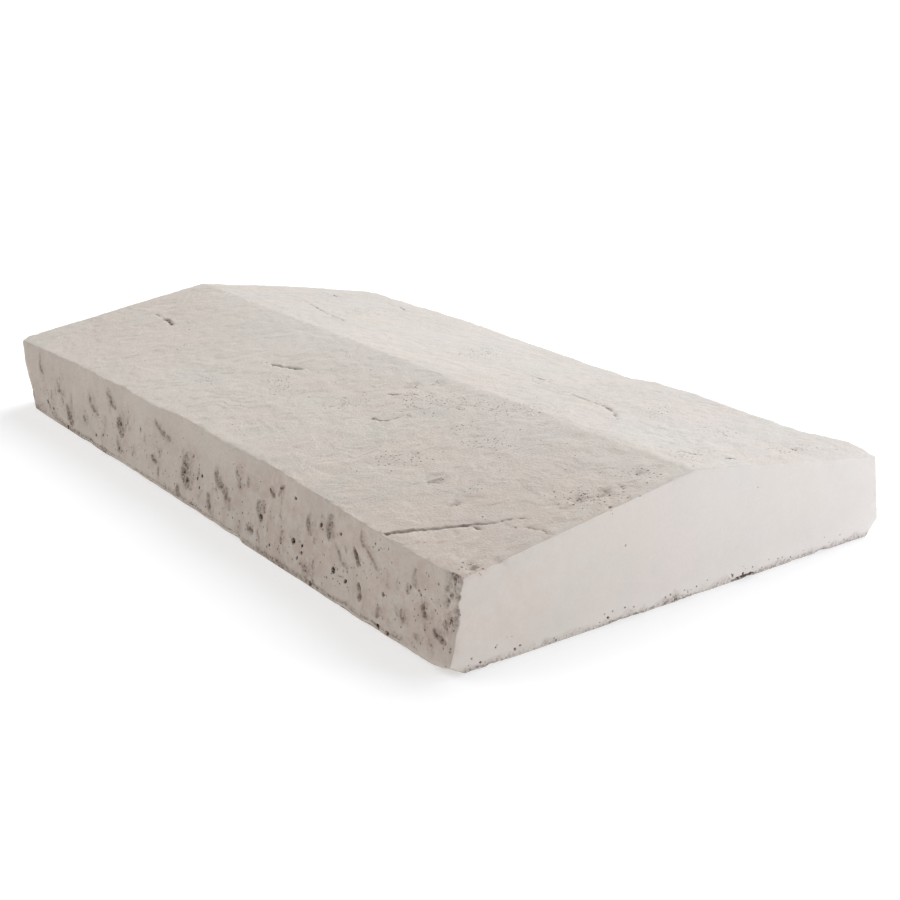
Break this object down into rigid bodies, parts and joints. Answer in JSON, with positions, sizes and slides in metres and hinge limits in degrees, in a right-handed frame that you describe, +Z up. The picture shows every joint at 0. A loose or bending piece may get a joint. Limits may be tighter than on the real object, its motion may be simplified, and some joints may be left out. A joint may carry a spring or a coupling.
{
  "type": "wall coping stone",
  "caption": "Saddleback coping stone, cast whole: flat bed, shallow slopes meeting in a soft ridge, drafted long sides and plain ends; it caps a wall and sheds rain to either side.",
  "frame": {"origin": "middle of the bed, the flat face that lies on the wall, at bed height", "axes": "+X along the wall, the stone's length; +Y across the wall; +Z up, from the bed to the ridge"},
  "size_m": [0.5, 0.2794, 0.0647],
  "materials": {
    "cast_stone": "wet-cast reconstituted stone, matt, pale cream-grey, riven slopes with fine cracks and pitted sides"
  },
  "bodies": {
    "root": {"coping_stone": "cast_stone"}
  },
  "joints": []
}
